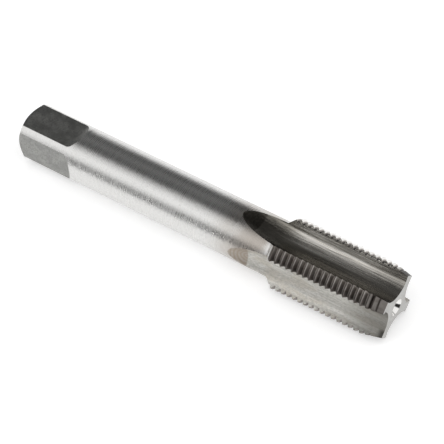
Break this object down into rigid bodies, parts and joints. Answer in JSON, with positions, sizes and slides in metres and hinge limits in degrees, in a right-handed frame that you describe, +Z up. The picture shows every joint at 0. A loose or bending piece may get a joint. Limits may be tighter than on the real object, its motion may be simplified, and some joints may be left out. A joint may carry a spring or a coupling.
{
  "type": "thread tap",
  "caption": "Straight-fluted hand tap: a round shank with a drive square at one end and a threaded, fluted cutting end with a tapered lead at the other.",
  "frame": {"origin": "centre of the drive square's rear face, on the tap's axis, at the mouth of the rear centre hole", "axes": "+X along the tap's axis from the drive square to the cutting end; +Z up, along the middle of one flute and square to one flat; the tap lies on the two lands beside the flute that opens down"},
  "size_m": [0.104, 0.0152, 0.0152],
  "materials": {
    "ground_steel": "ground high-speed steel, fine grinding lines round the shank and along the flutes"
  },
  "bodies": {
    "root": {"tap_body": "ground_steel"}
  },
  "joints": []
}
